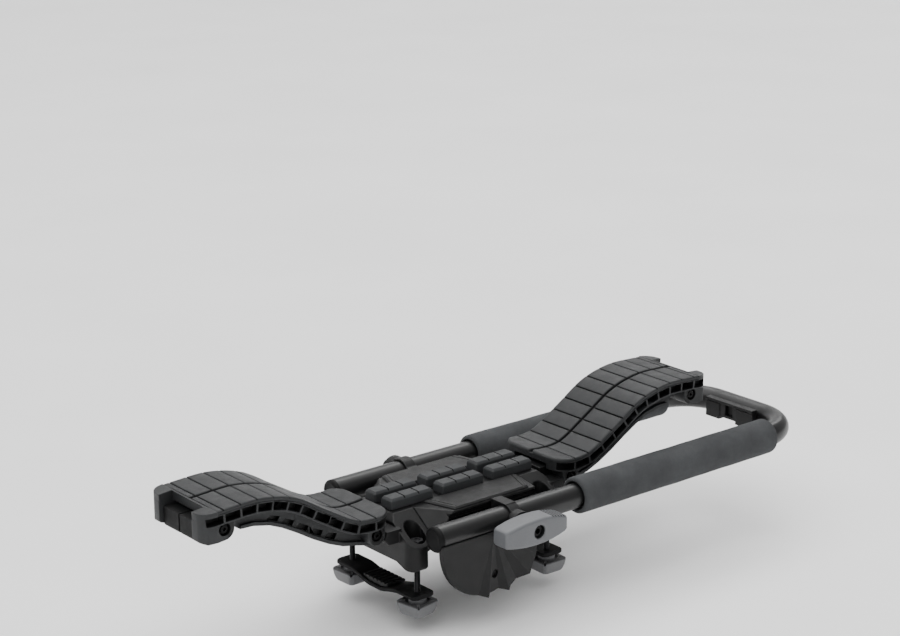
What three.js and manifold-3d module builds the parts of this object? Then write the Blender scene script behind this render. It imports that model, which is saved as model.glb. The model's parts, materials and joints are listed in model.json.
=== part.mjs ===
// Roof-bar carrier for kayaks and paddleboards: a base clamped on a crossbar, two curved saddle wings that
// tilt on pins, and a padded U-shaped arm that folds flat or stands up about a clamped cross rod.
// Millimetres. X runs along the crossbar, Y across it, +Z up. The origin is the middle of the face that
// rests on the crossbar.
import * as THREE from "three";
import { mergeVertices } from "three/addons/utils/BufferGeometryUtils.js";
import Module from "manifold-3d";

const wasm = await Module();
wasm.setup();

// ---------- driving dimensions ----------
const GAP = 0.3; // between touching pieces
const RUN = 0.4; // radial clearance of a turning fit

const TUBE_R = 12.7;
const TUBE_WALL = 1.6;
const AXIS_Z = 31; // height of the arm tube
const ARM_Y = 2.5; // the arm's middle, which sits a little behind the base's middle
const LEG_Y = 80.4; // from the arm's middle to each leg
const ARM_LEFT = -81; // free ends of the legs
const PLUG_OUT = 4.5; // how far an end plug stands out of its leg
const BEND_X = 420.5; // centre line of the far cross piece
const BEND_R = 48;
const FOAM_R = 18.8;
const FOAM_X = [95, 373];

const PIVOT_X = 8; // cross rod that the arm folds about
const PIVOT_Z = 29.5;
const ROD_R = 5;
const COLLAR_OUT = 19.3; // from a leg's axis to the outer face of its collar
const COLLAR_BOSS_R = 12.3;
const HANDLE_Y = [-124, -101]; // front and back faces of the T-handle
const QUADRANT_HUB = [-22, 27.4]; // where the quadrant's folds meet, X and Z
const QUADRANT_TIPS = [[-28.5, -38.5], [-2.5, -37.5], [24, -27.5]];

const BASE_X = 67; // half length of the middle body
const BASE_Y = 58; // half width of the middle body
const DECK_Z = 44; // top of the base under the pads
const SLOT_X = [-49, 60];
const SLOT_Z = [20, 41];
const LINER_T = 4; // rubber under the base

const BRACKET_X = 98; // outer face of the end brackets
const LEG_OUT_Y = 62; // outer face of a bracket leg
const LEG_INNER_X = 78; // inner face of a bracket leg
const LEG_Z = -6; // bottom of a bracket leg
const SHOULDER_Y = 26; // where a bracket's sloping shoulder leaves the deck
const SHOULDER_LOW_Z = 18; // the shoulder's height at the leg's outer face
const POCKET_X = 82; // middle of the pocket over a stud
const POCKET_R = 9;

const STUD_X = 83;
const STUD_Y = 51;
const STUD_R = 3;
const STUD_END_Z = -50;
const STUD_SEAT_Z = 17;

const STRAP_TOP_Z = -30; // strap ends
const STRAP_T = 4;
const STRAP_SAG = 6; // how much lower the strap's middle is
const STRAP_HALF = 62; // half length
const KNOB_Z = [-53, -38.8];
const KNOB_HALF = 15.3; // half width
// How far each knob has been turned, in radians.
const KNOB_TURNS = { left_front: 0.18, left_rear: 0.06, right_front: -0.02, right_rear: 0.12 };

const WING_PIN = [123.5, 34.5]; // X and Z of a wing's hinge
const WING_END_PIN = [293.5, 85];
const WING_W = 45; // half width
const PIN_R = 4;
const PIN_INSET = 3; // how far a pin's ends lie inside the wing's faces
const NOTCH_X = 302;
const NOTCH_Y = 26.5;
const WING_ROOT_X = 105.5;
const WING_ROOT_R = 18; // rounding of the hinge end's corners, seen from above
const WING_TIP_X = 317.5;
const WING_TIP_R = 14; // rounding of the tip's outer corners, seen from above
const TREAD_T = 3.5;
const BLOCK_FIRST = 22.5; // length of the first tread block, along the crown from the hinge end
const BLOCK_PITCH = 18.1; // length of the others, and of the window pockets under them
const BLOCKS = 11;
const TREAD_END = 302;
const SKIN_T = 14.2; // depth of the wing's windowed rim

const PAD_TOP_Z = 55.3;
const PAD_PITCH = 64;
const PAD_LEN = 52;
const PAD_Y = [4.3, 20.7];

// ---------- materials ----------
const looks = {
  base: [0x1d1e20, 0.55, 0],
  tube: [0x17181a, 0.35, 0.4],
  foam: [0x45474b, 0.9, 0],
  frame: [0x4c4e53, 0.6, 0],
  rubber: [0x505257, 0.8, 0],
  handle: [0x8d8f94, 0.45, 0],
  knob: [0x6f7175, 0.5, 0],
  strap: [0x161719, 0.6, 0],
  steel: [0x2a2b2d, 0.35, 0.8],
  black: [0x0f1011, 0.6, 0],
};

function material(key) {
  const [color, roughness, metalness] = looks[key];
  return new THREE.MeshStandardMaterial({ color, roughness, metalness });
}

// ---------- solids ----------
function makeSolid(vertProperties, triVerts) {
  return new wasm.Manifold(new wasm.Mesh({ numProp: 3, vertProperties, triVerts }));
}

function solidFrom(geometry) {
  geometry.deleteAttribute("normal");
  geometry.deleteAttribute("uv");
  const merged = mergeVertices(geometry, 1e-4);
  const points = new Float32Array(merged.attributes.position.array);
  const faces = new Uint32Array(merged.index.array);
  const solid = makeSolid(points, faces);
  if (solid.volume() > 0) return solid;
  for (let i = 0; i < faces.length; i += 3) [faces[i + 1], faces[i + 2]] = [faces[i + 2], faces[i + 1]];
  return makeSolid(points, faces);
}

const join = (...solids) => solids.reduce((a, b) => a.add(b));
const cut = (solid, ...tools) => tools.reduce((a, b) => a.subtract(b), solid);

// Extrusion of a closed outline. axis "y": points are [x, z]; "x": [y, z]; "z": [x, y].
function prism(points, axis, from, to) {
  const shape = new THREE.Shape(points.map(([a, b]) => new THREE.Vector2(a, b)));
  const body = new THREE.ExtrudeGeometry(shape, { depth: to - from, bevelEnabled: false });
  const turn = new THREE.Matrix4();
  if (axis === "y") turn.makeBasis(unit(1, 0, 0), unit(0, 0, 1), unit(0, -1, 0)).setPosition(0, to, 0);
  if (axis === "x") turn.makeBasis(unit(0, 1, 0), unit(0, 0, 1), unit(1, 0, 0)).setPosition(from, 0, 0);
  if (axis === "z") turn.setPosition(0, 0, from);
  return solidFrom(body.applyMatrix4(turn));
}

const unit = (x, y, z) => new THREE.Vector3(x, y, z);

function box([x0, x1], [y0, y1], [z0, z1]) {
  const body = new THREE.BoxGeometry(x1 - x0, y1 - y0, z1 - z0);
  return solidFrom(body.translate((x0 + x1) / 2, (y0 + y1) / 2, (z0 + z1) / 2));
}

// Cylinder of radius r along an axis. centre holds the other two coordinates, in X, Y, Z order.
function rod(axis, r, [a, b], from, to, sides = 18) {
  const body = new THREE.CylinderGeometry(r, r, to - from, sides);
  const mid = (from + to) / 2;
  if (axis === "x") body.rotateZ(-Math.PI / 2).translate(mid, a, b);
  if (axis === "y") body.translate(a, mid, b);
  if (axis === "z") body.rotateX(Math.PI / 2).translate(a, b, mid);
  return solidFrom(body);
}

// Closed skin over matching rings of points, each ring star-shaped about its own middle.
function loft(rings) {
  const n = rings[0].length;
  const points = rings.flat();
  const faces = [];
  for (let k = 0; k < rings.length - 1; k++) {
    for (let i = 0; i < n; i++) {
      const a = k * n + i;
      const b = k * n + ((i + 1) % n);
      faces.push(a, b, b + n, a, b + n, a + n);
    }
  }
  for (const [start, flip] of [[0, true], [(rings.length - 1) * n, false]]) {
    const ring = points.slice(start, start + n);
    points.push([0, 1, 2].map((c) => ring.reduce((sum, p) => sum + p[c] / n, 0)));
    for (let i = 0; i < n; i++) {
      const edge = [start + i, start + ((i + 1) % n)];
      faces.push(...(flip ? edge.reverse() : edge), points.length - 1);
    }
  }
  const body = new THREE.BufferGeometry();
  body.setAttribute("position", new THREE.Float32BufferAttribute(points.flat(), 3));
  body.setIndex(faces);
  return solidFrom(body);
}

// Points of a rounded rectangle about the origin.
function roundedRing(hx, hy, r, steps = 3) {
  const ring = [];
  for (let corner = 0; corner < 4; corner++) {
    const sx = corner === 0 || corner === 3 ? 1 : -1;
    const sy = corner < 2 ? 1 : -1;
    for (let i = 0; i <= steps; i++) {
      const a = (corner + i / steps) * (Math.PI / 2);
      ring.push([sx * (hx - r) + r * Math.cos(a), sy * (hy - r) + r * Math.sin(a)]);
    }
  }
  return ring;
}

// Points on a circular arc, angles in degrees from the first outline axis.
function arc([cx, cy], r, from, to, steps) {
  return Array.from({ length: steps + 1 }, (_, i) => {
    const a = ((from + ((to - from) * i) / steps) * Math.PI) / 180;
    return [cx + r * Math.cos(a), cy + r * Math.sin(a)];
  });
}

const mirrorOutline = (points) => [...points, ...points.map(([a, b]) => [-a, b]).reverse()];

const part = new THREE.Group();

function addMesh(name, solid, look) {
  const { vertProperties, triVerts } = solid.getMesh();
  const body = new THREE.BufferGeometry();
  body.setAttribute("position", new THREE.BufferAttribute(new Float32Array(vertProperties), 3));
  body.setIndex(new THREE.BufferAttribute(new Uint32Array(triVerts), 1));
  body.computeVertexNormals();
  const mesh = new THREE.Mesh(body, material(look));
  mesh.name = name;
  part.add(mesh);
}

// Turned half way round about Z, or reflected in X or Y.
const reflected = (solid, x, y) => solid.scale([x, y, 1]);

// ---------- base ----------
// What a sloping facet takes off a top corner of the base. It starts from the bracket's shoulder line at
// the end of the base, and runs inwards along X as it rises to the deck.
function cornerFacet(sideX, sideY, run) {
  const width = BASE_Y - SHOULDER_Y;
  const rise = width * (DECK_Z - SHOULDER_LOW_Z) / (LEG_OUT_Y - SHOULDER_Y);
  const ring = (t) => [
    [BASE_X + 1, BASE_Y + 1],
    [BASE_X - run * (t + 1 / width), BASE_Y + 1],
    [BASE_X + 1, BASE_Y - width * (t + 1 / run)],
  ].map(([x, y]) => [sideX * x, sideY * y, DECK_Z + (t - 1) * rise]);
  return loft([ring(-0.02), ring(1.2)]);
}

function addBase() {
  const outline = mirrorOutline([
    [0, LINER_T], [40, LINER_T], [BASE_Y - 1, 14.5], [BASE_Y, 16],
    [BASE_Y, DECK_Z - 1], [BASE_Y - 1, DECK_Z], [0, DECK_Z],
  ]).slice(1, -1);
  const body = prism(outline, "x", -BASE_X, BASE_X);
  const slot = box(SLOT_X, [-80, 80], SLOT_Z);
  const facets = [-1, 1].map((side) => [cornerFacet(-1, side, 24), cornerFacet(1, side, 7)]);
  addMesh("base_body", cut(body, slot, ...facets.flat()), "base");

  const liner = box([-BASE_X + 4, BASE_X - 4], [-38, 38], [0, LINER_T - GAP]);
  const grooves = [-56, -42, -28, -14, 14, 28, 42, 56].map((x) => box([x - 1, x + 1], [-40, 40], [-1, 1]));
  addMesh("crossbar_liner", cut(liner, ...grooves), "rubber");

  for (const [name, side] of [["front", -1], ["rear", 1]]) {
    const wall = [side * (BASE_Y - 8), side * (BASE_Y - 1)].sort((a, b) => a - b);
    const rail = box([SLOT_X[0] + GAP, SLOT_X[1] - GAP], wall, [SLOT_Z[0] + GAP, SLOT_Z[1] - GAP]);
    const way = box([SLOT_X[0] + 3, SLOT_X[1] - 3], [-80, 80], [SLOT_Z[0] + 4, SLOT_Z[1] - 5]);
    addMesh(`${name}_slot_rail`, cut(rail, way, cornerFacet(-1, side, 24)), "black");

    const cover = prism(
      [[-52, 22], [-41, 57], [53, 57], [65, 24], [63, 22]].map(([x, y]) => [x, side * y]),
      "z", DECK_Z + GAP, DECK_Z + 2.5,
    );
    addMesh(`${name}_deck_cover`, cover, "base");
  }
}

// The space on each side beneath the inner half of a bracket, which makes its legs narrower than its top.
function underLegs(inner) {
  const outline = [[41, -20], [41, LINER_T], [BASE_Y - 1, 14.5], [70, 22], [70, -20]];
  return [-1, 1].map((side) => prism(outline.map(([y, z]) => [side * y, z]), "x", inner - 1, LEG_INNER_X));
}

// One end bracket, built at +X: a saddle over the crossbar with sloping shoulders, a leg on each side,
// a lug for the wing hinge and a deep pocket over each clamp stud.
function endBracket() {
  const outline = mirrorOutline([
    [0, 0], [38, 0], [52, LEG_Z + 1], [LEG_OUT_Y - 3, LEG_Z], [LEG_OUT_Y, LEG_Z + 3],
    [LEG_OUT_Y, SHOULDER_LOW_Z], [SHOULDER_Y, DECK_Z], [0, DECK_Z],
  ]).slice(1, -1);
  const inner = BASE_X + GAP;
  const corner = BRACKET_X - 12;
  const plan = [
    [inner, -70], [corner, -70], [corner, -LEG_OUT_Y], ...arc([corner, -50], 12, -90, 0, 4),
    ...arc([corner, 50], 12, 0, 90, 4), [corner, 70], [inner, 70],
  ];
  const body = prism(outline, "x", inner, BRACKET_X).intersect(prism(plan, "z", -20, 80));
  const brow = prism(
    [[BRACKET_X - 7, DECK_Z + 1], [BRACKET_X + 1, DECK_Z + 1], [BRACKET_X + 1, DECK_Z - 7]],
    "y", -70, 70,
  );
  const lug = prism(
    [[BRACKET_X - 2, WING_PIN[1] - 9], [WING_PIN[0], WING_PIN[1] - 9], ...arc(WING_PIN, 9, -90, 90, 8),
      [BRACKET_X - 2, WING_PIN[1] + 9]],
    "y", -22, 22,
  );
  const guards = [[-43, -24], [24, 43]].map((y) => prism(
    [[BRACKET_X - 3, 21], [110, 21], ...arc(WING_PIN, 10.9, 222, 178, 5), [BRACKET_X - 3, 35]],
    "y", ...y,
  ));
  const pinHole = rod("y", PIN_R + 0.05, WING_PIN, -30, 30);
  const tools = [brow, pinHole, ...underLegs(inner)];
  for (const side of [-1, 1]) {
    const at = [STUD_X, side * STUD_Y];
    tools.push(rod("z", STUD_R + RUN, at, -20, STUD_SEAT_Z + 1));
    for (const y of [STUD_Y - 2, STUD_Y - 7]) {
      tools.push(rod("z", POCKET_R, [POCKET_X, side * y], STUD_SEAT_Z, 60));
    }
    const middle = [side * (STUD_Y - 2), side * (STUD_Y - 7)].sort((a, b) => a - b);
    tools.push(box([POCKET_X - POCKET_R, POCKET_X + POCKET_R], middle, [STUD_SEAT_Z, 60]));
  }
  return cut(join(body, lug, ...guards), ...tools);
}

function addEnds() {
  const bracket = endBracket();
  const pin = rod("y", PIN_R, WING_PIN, -WING_W + PIN_INSET, WING_W - PIN_INSET);
  for (const [name, side] of [["left", -1], ["right", 1]]) {
    addMesh(`${name}_end_bracket`, reflected(bracket, side, 1), "base");
    addMesh(`${name}_wing_hinge_pin`, reflected(pin, side, 1), "steel");
    for (const [end, y] of [["front", -STUD_Y], ["rear", STUD_Y]]) {
      const at = [side * STUD_X, y];
      const shank = rod("z", STUD_R, at, STUD_END_Z, STUD_SEAT_Z + 2, 20);
      const head = rod("z", 6.5, at, STUD_SEAT_Z + GAP, STUD_SEAT_Z + 6, 6);
      addMesh(`${name}_${end}_clamp_stud`, join(shank, head), "steel");
    }
  }
}

// A rubber pad of three blocks with bevelled edges.
function addPads() {
  const half = PAD_LEN / 2;
  const [y0, y1] = PAD_Y;
  const low = DECK_Z + GAP;
  const ring = (inset, z, side, x) => roundedRing(half - inset, (y1 - y0) / 2 - inset, 2)
    .map(([a, b]) => [x + a, side * (y0 + y1) / 2 + b, z]);
  for (const [row, side] of [["front", -1], ["rear", 1]]) {
    for (const [place, x] of [["left", -PAD_PITCH], ["middle", 0], ["right", PAD_PITCH]]) {
      const skin = [ring(0.4, low, side, x), ring(0, PAD_TOP_Z - 4, side, x), ring(1.6, PAD_TOP_Z, side, x)];
      const grooves = [x - PAD_LEN / 6, x + PAD_LEN / 6].map(
        (at) => box([at - 0.5, at + 0.5], [-30, 30], [PAD_TOP_Z - 1.6, 70]),
      );
      addMesh(`${row}_${place}_pad`, cut(loft(skin), ...grooves), "rubber");
    }
  }
}

// ---------- folding arm ----------
// Centre line of the arm: two legs, two round corners and a cross piece, with one station at each change.
class ArmPath extends THREE.Curve {
  constructor() {
    super();
    const corner = BEND_X - BEND_R;
    const side = LEG_Y - BEND_R;
    this.stations = [
      [ARM_LEFT, ARM_Y - LEG_Y],
      ...arc([corner, ARM_Y - side], BEND_R, -90, 0, 6),
      ...arc([corner, ARM_Y + side], BEND_R, 0, 90, 6),
      [ARM_LEFT, ARM_Y + LEG_Y],
    ].map(([x, y]) => new THREE.Vector3(x, y, AXIS_Z));
  }
  get last() {
    return this.stations.length - 1;
  }
  getPointAt(u, target = new THREE.Vector3()) {
    return target.copy(this.stations[Math.round(u * this.last)]);
  }
  getTangentAt(u, target = new THREE.Vector3()) {
    const i = Math.round(u * this.last);
    const before = this.stations[Math.max(i - 1, 0)];
    const after = this.stations[Math.min(i + 1, this.last)];
    if (i <= 1 || i >= this.last - 1) return target.set(i <= 1 ? 1 : -1, 0, 0);
    if (this.stations[i].x > BEND_X - 0.1) return target.set(0, 1, 0);
    return target.subVectors(after, before).normalize();
  }
}

function circleShape(r, sides) {
  const points = arc([0, 0], r, 0, 360, sides).slice(0, -1);
  return new THREE.Path(points.map(([a, b]) => new THREE.Vector2(a, b)));
}

function addArm() {
  const path = new ArmPath();
  const section = new THREE.Shape(circleShape(TUBE_R, 24).getPoints());
  section.holes.push(circleShape(TUBE_R - TUBE_WALL, 12));
  const options = { steps: path.last, bevelEnabled: false, extrudePath: path };
  const tube = new THREE.ExtrudeGeometry(section, options);
  const bore = rod("y", ROD_R + GAP, [PIVOT_X, PIVOT_Z], -110, 120, 18);
  addMesh("arm_tube", cut(solidFrom(tube), bore), "tube");

  for (const [name, side] of [["front", -1], ["rear", 1]]) {
    const y = ARM_Y + side * LEG_Y;
    const sleeve = cut(
      rod("x", FOAM_R, [y, AXIS_Z], ...FOAM_X, 28),
      rod("x", TUBE_R + GAP, [y, AXIS_Z], FOAM_X[0] - 1, FOAM_X[1] + 1, 24),
    );
    addMesh(`${name}_foam_sleeve`, sleeve, "foam");
    const plug = join(
      rod("x", TUBE_R, [y, AXIS_Z], ARM_LEFT - PLUG_OUT, ARM_LEFT - GAP, 24),
      rod("x", TUBE_R - TUBE_WALL - 0.8, [y, AXIS_Z], ARM_LEFT - 1, ARM_LEFT + 14, 12),
    );
    addMesh(`${name}_tube_plug`, plug, "black");
    addMesh(`${name}_pivot_collar`, pivotCollar(y, side), "base");
    addMesh(`${name}_quadrant`, quadrant(y, side), "base");
  }
  addMesh("strap_catch", strapCatch(), "base");
}

// Saddle round a leg, with a square arm towards the base and a round boss away from it.
function pivotCollar(y, side) {
  const inner = side * (BASE_Y + 1.5);
  const outer = y + side * COLLAR_OUT;
  const span = [inner, y + side * 4].sort((a, b) => a - b);
  const across = [inner - side, outer + side].sort((a, b) => a - b);
  const top = side < 0 ? TUBE_R + 2.6 : 9;
  const ring = rod("x", TUBE_R + 2.6, [y, AXIS_Z], PIVOT_X - 6.4, PIVOT_X + 6.4, 24);
  const arm = box([PIVOT_X - 6.4, PIVOT_X + 6.4], span, [AXIS_Z - 10, AXIS_Z + top]);
  const bossR = COLLAR_BOSS_R + (side < 0 ? 0 : 1.7);
  const boss = rod("y", bossR, [PIVOT_X, PIVOT_Z], Math.min(y, outer), Math.max(y, outer), 24);
  return cut(
    join(ring, arm, boss),
    rod("x", TUBE_R + GAP, [y, AXIS_Z], PIVOT_X - 20, PIVOT_X + 20, 24),
    rod("y", ROD_R + RUN, [PIVOT_X, PIVOT_Z], across[0], across[1], 18),
  );
}

// Plate under the free end of a leg: round towards the end, scalloped towards the arm. Its outer face is
// folded, with ridges that fan out from the leg to the tips and shallow valleys between them.
function quadrantRim() {
  const [first, second, third] = QUADRANT_TIPS;
  const round = arc([-29, 22], 56, 180, 246, 8).map((p) => [...p, 0]);
  return [
    [-85, 27.4, 0], ...round, [-40, -33.2, -1], [...first, 1], [-27.2, -34, 0.5], [-15, -33, -1.5],
    [...second, 1], [-0.5, -33, 0.5], [8, -29, -1.5], [...third, 1], [26, -23.5, 0.5], [33, -10, -1],
    [34.5, 6, 0], [32, 18, 0], [28, 27.4, 0],
  ];
}

function quadrant(y, side) {
  const outer = y + side * 14;
  const inner = outer - side * 6;
  const rim = quadrantRim();
  const middle = rim.length * 2;
  const points = [
    ...rim.map(([x, z, out]) => [x, outer + side * out, z]),
    ...rim.map(([x, z]) => [x, inner, z]),
    [QUADRANT_HUB[0], outer, QUADRANT_HUB[1]],
    [QUADRANT_HUB[0], inner, QUADRANT_HUB[1]],
  ];
  const faces = rim.flatMap((_, i) => {
    const next = (i + 1) % rim.length;
    const [a, b, c, d] = [i, next, i + rim.length, next + rim.length];
    return [middle, b, a, middle + 1, c, d, a, b, d, a, d, c];
  });
  const plate = new THREE.BufferGeometry();
  plate.setAttribute("position", new THREE.Float32BufferAttribute(points.flat(), 3));
  plate.setIndex(faces);
  const reach = [y - 30, y + 30];
  return cut(
    solidFrom(plate),
    rod("x", TUBE_R + GAP, [y, AXIS_Z], -120, 60, 24),
    rod("y", 4.3, [-20, -16], ...[outer - side * 4, outer + side * 9].sort((a, b) => a - b), 16),
    box([PIVOT_X - COLLAR_BOSS_R - 2.5, PIVOT_X + COLLAR_BOSS_R + 2.5], reach, [AXIS_Z - 17, AXIS_Z]),
  );
}

// Plate inside the far bend with two feet and a lip over the tube.
function strapCatch() {
  const inner = BEND_X - TUBE_R - 0.9;
  const [y0, y1] = [ARM_Y - 37, ARM_Y + 32];
  const plate = box([inner - 7, inner], [y0, y1], [AXIS_Z - 9, AXIS_Z + 9]);
  const feet = [[y0, ARM_Y - 12], [ARM_Y + 12, y1]].map(
    (y) => box([inner - 8, inner], y, [AXIS_Z - 12, AXIS_Z + 6]),
  );
  const lip = box([inner - 9, inner - 1], [y0, y1], [AXIS_Z + 7, AXIS_Z + 10]);
  const slot = box([inner - 9, inner - 3], [ARM_Y - 7, ARM_Y + 4], [AXIS_Z - 6, AXIS_Z + 6]);
  return cut(join(plate, lip, ...feet), slot);
}

// ---------- pivot carriage and T-handle ----------
function addPivot() {
  const frontEnd = HANDLE_Y[0] + 9;
  const rearEnd = ARM_Y + LEG_Y + 27;
  addMesh("pivot_cross_rod", rod("y", ROD_R, [PIVOT_X, PIVOT_Z], frontEnd, rearEnd, 18), "steel");
  for (const [name, side] of [["front", -1], ["rear", 1]]) {
    const span = [side * (BASE_Y - 16), side * (BASE_Y + 1)].sort((a, b) => a - b);
    const block = box([PIVOT_X - 8, PIVOT_X + 8], span, [SLOT_Z[0] + 4.5, SLOT_Z[1] - 5.5]);
    const bore = rod("y", ROD_R + GAP, [PIVOT_X, PIVOT_Z], -90, 90, 18);
    addMesh(`${name}_slide_block`, cut(block, bore), "black");
  }
  const nutSeat = ARM_Y + LEG_Y + COLLAR_OUT + 0.6;
  const nut = cut(
    rod("y", 8.5, [PIVOT_X, PIVOT_Z], nutSeat, nutSeat + 7, 6),
    rod("y", ROD_R + GAP, [PIVOT_X, PIVOT_Z], 90, 140, 18),
  );
  addMesh("rear_pivot_nut", nut, "steel");

  const collarFace = ARM_Y - LEG_Y - COLLAR_OUT;
  const washer = cut(
    rod("y", 11, [PIVOT_X, PIVOT_Z], HANDLE_Y[1] + GAP, collarFace - 0.6, 20),
    rod("y", ROD_R + RUN, [PIVOT_X, PIVOT_Z], -140, -80, 18),
  );
  addMesh("handle_thrust_washer", washer, "black");
  addMesh("t_handle", tHandle(), "handle");
  const socket = cut(
    rod("y", 5.6, [PIVOT_X, PIVOT_Z], HANDLE_Y[0] + 3.5, HANDLE_Y[0] + 8.2, 20),
    rod("y", 3, [PIVOT_X, PIVOT_Z], HANDLE_Y[0], HANDLE_Y[0] + 7, 6),
  );
  addMesh("handle_socket_screw", socket, "black");
}

// A blunt-ended bar, thick in the middle, with grip ridges across its right shoulder.
function tHandle() {
  const [front, back] = HANDLE_Y;
  const stations = [
    [-41, 7, 3.5], [-38.5, 9, 1], [-17, 12.6, 0], [0, 13.2, 0], [17, 12, 0], [33, 8.6, 0.6], [37, 6.2, 3],
  ];
  const rings = stations.map(([x, h, inset]) => {
    const rim = roundedRing((back - front) / 2 - inset, h, 3.5);
    return rim.map(([a, b]) => [PIVOT_X + x, (front + back) / 2 + a, PIVOT_Z + b]);
  });
  const ridges = [19, 23, 27, 31].map((x) => {
    const top = PIVOT_Z + 11.2 - (x - 19) * 0.22;
    return box([PIVOT_X + x, PIVOT_X + x + 1.4], [front + 3, back - 4], [top - 0.3, 60]);
  });
  return cut(
    loft(rings),
    ...ridges,
    rod("y", ROD_R + 0.1, [PIVOT_X, PIVOT_Z], front - 1, back + 1, 18),
    rod("y", 6.8, [PIVOT_X, PIVOT_Z], front - 1, front + 8.5, 20),
  );
}

// ---------- saddle wings ----------
// Top of the tread, seen from the side, from the hinge end to the tip.
const crown = new THREE.SplineCurve(
  [[104, 56.2], [124, 54.2], [148, 57], [182, 76], [217, 96.5], [253, 105.4], [288, 105.2], [WING_TIP_X, 103]]
    .map(([x, z]) => new THREE.Vector2(x, z)),
);
crown.arcLengthDivisions = 400;

// A point at the fraction u of the crown's length and the given depth below it.
function under(u, depth) {
  const at = crown.getPointAt(u);
  const along = crown.getTangentAt(u);
  return [at.x + along.y * depth, at.y - along.x * depth];
}

// The fraction of the crown's length at which it reaches a given X.
function crownAt(x) {
  let [low, high] = [0, 1];
  for (let i = 0; i < 30; i++) {
    const middle = (low + high) / 2;
    if (crown.getPointAt(middle).x < x) low = middle;
    else high = middle;
  }
  return low;
}

function fractions(from, to, steps) {
  return Array.from({ length: steps + 1 }, (_, i) => from + ((to - from) * i) / steps);
}

// The band between two depths below the crown, as an outline.
function band(from, to, top, bottom, steps = 14) {
  const us = fractions(from, to, steps);
  return [...us.map((u) => under(u, top)), ...us.map((u) => under(u, bottom)).reverse()];
}

// Lower edge of a wing's web, from the hinge to the end pin.
const UNDERSIDE = [
  [118, 20], [140, 25.5], [156, 29], [172, 35.5], [190, 45],
  [207, 55.5], [224, 65], [238, 71], [256, 75], [270, 75.5],
];

function wingFrame() {
  const treadEnd = crownAt(TREAD_END);
  const rim = prism(band(0, treadEnd, TREAD_T + GAP, SKIN_T), "y", -WING_W, WING_W);
  const tip = prism(band(treadEnd - 0.002, 1, 0, SKIN_T, 3), "y", -WING_W, WING_W);
  const ceiling = fractions(0.08, crownAt(292), 12).map((u) => under(u, SKIN_T - 1)).reverse();
  const web = prism([...UNDERSIDE, ...ceiling], "y", -28, 28);
  const lip = UNDERSIDE.map(([x, z]) => [x - 1.5, z + 3.5]).reverse();
  const flange = prism([...UNDERSIDE, ...lip], "y", -32, 32);
  const innerBoss = prism([...arc(WING_PIN, 10, 170, 330, 8), [136, 44], [112, 46]], "y", -42, 42);
  const outerBoss = prism(
    [...arc(WING_END_PIN, 10.5, 180, 270, 5), [301, 73.8], [311, 74.2], [WING_TIP_X - 1.5, 75.8],
      [WING_TIP_X, 79], [WING_TIP_X, 96], [WING_END_PIN[0] - 10.5, 96]],
    "y", -43, 43,
  );
  const tools = [
    box([NOTCH_X, 340], [-NOTCH_Y, NOTCH_Y], [60, 120]),
    box([279, 340], [-NOTCH_Y, NOTCH_Y], [60, 94]),
    box([90, 138], [-24, 24], [10, 47]),
    rod("y", PIN_R + RUN, WING_PIN, -50, 50, 20),
    rod("y", 6, WING_PIN, 38, 50, 18),
    rod("y", 6, WING_PIN, -50, -38, 18),
    rod("y", PIN_R + GAP, WING_END_PIN, -50, 50, 20),
    rod("y", 6, WING_END_PIN, 38, 50, 18),
    rod("y", 6, WING_END_PIN, -50, -38, 18),
  ];
  const solid = join(rim, tip, web, flange, innerBoss, outerBoss).intersect(wingPlan());
  return cut(solid, ...tools, ...rimWindows(), ...webPockets());
}

// Outline of a wing from above, with its corners rounded.
function wingPlan() {
  const tip = [WING_TIP_X - WING_TIP_R, WING_W - WING_TIP_R];
  const root = [WING_ROOT_X + WING_ROOT_R, WING_W - WING_ROOT_R];
  const outline = [
    ...arc([root[0], -root[1]], WING_ROOT_R, 180, 270, 4), ...arc([tip[0], -tip[1]], WING_TIP_R, -90, 0, 5),
    ...arc(tip, WING_TIP_R, 0, 90, 5), ...arc(root, WING_ROOT_R, 90, 180, 4),
  ];
  return prism(outline, "z", 0, 130);
}

// Height of a wing's underside at a given X.
function undersideAt(x) {
  const k = UNDERSIDE.findIndex(([at], i) => i > 0 && at >= x);
  const [[x0, z0], [x1, z1]] = [UNDERSIDE[k - 1], UNDERSIDE[k]];
  return z0 + ((z1 - z0) * (x - x0)) / (x1 - x0);
}

// Slanted pockets along the lower edge of the web, in both of its faces.
function webPockets() {
  return [163, 179, 195, 211, 227].flatMap((x, i) => {
    const [low, high] = [undersideAt(x) + 5, undersideAt(x + 11) + 5];
    const tall = 5.2 - i * 0.3;
    const outline = [[x, low], [x + 11, high], [x + 7, high + tall - 1.5], [x - 3, low + tall]];
    return [prism(outline, "y", 24, 34), prism(outline, "y", -34, -24)];
  });
}

// Fractions of the crown's length at which the tread's blocks, and the windows under them, end.
function blockEnds() {
  return fractions(0, BLOCKS - 1, BLOCKS - 1).map((k) => (BLOCK_FIRST + k * BLOCK_PITCH) / crown.getLength());
}

// Rows of window pockets along both edges of the rim.
function rimWindows() {
  const edges = [0.02, ...blockEnds(), 0.985];
  const rib = 0.0055;
  return edges.slice(0, -1).flatMap((u, i) => {
    const [a, b] = [u + rib, edges[i + 1] - rib];
    const outline = [under(a, 5), under(b, 5), under(b, 12.4), under(a, 12.4)];
    return [prism(outline, "y", WING_W - 9, WING_W + 1), prism(outline, "y", -WING_W - 1, -WING_W + 9)];
  });
}

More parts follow.
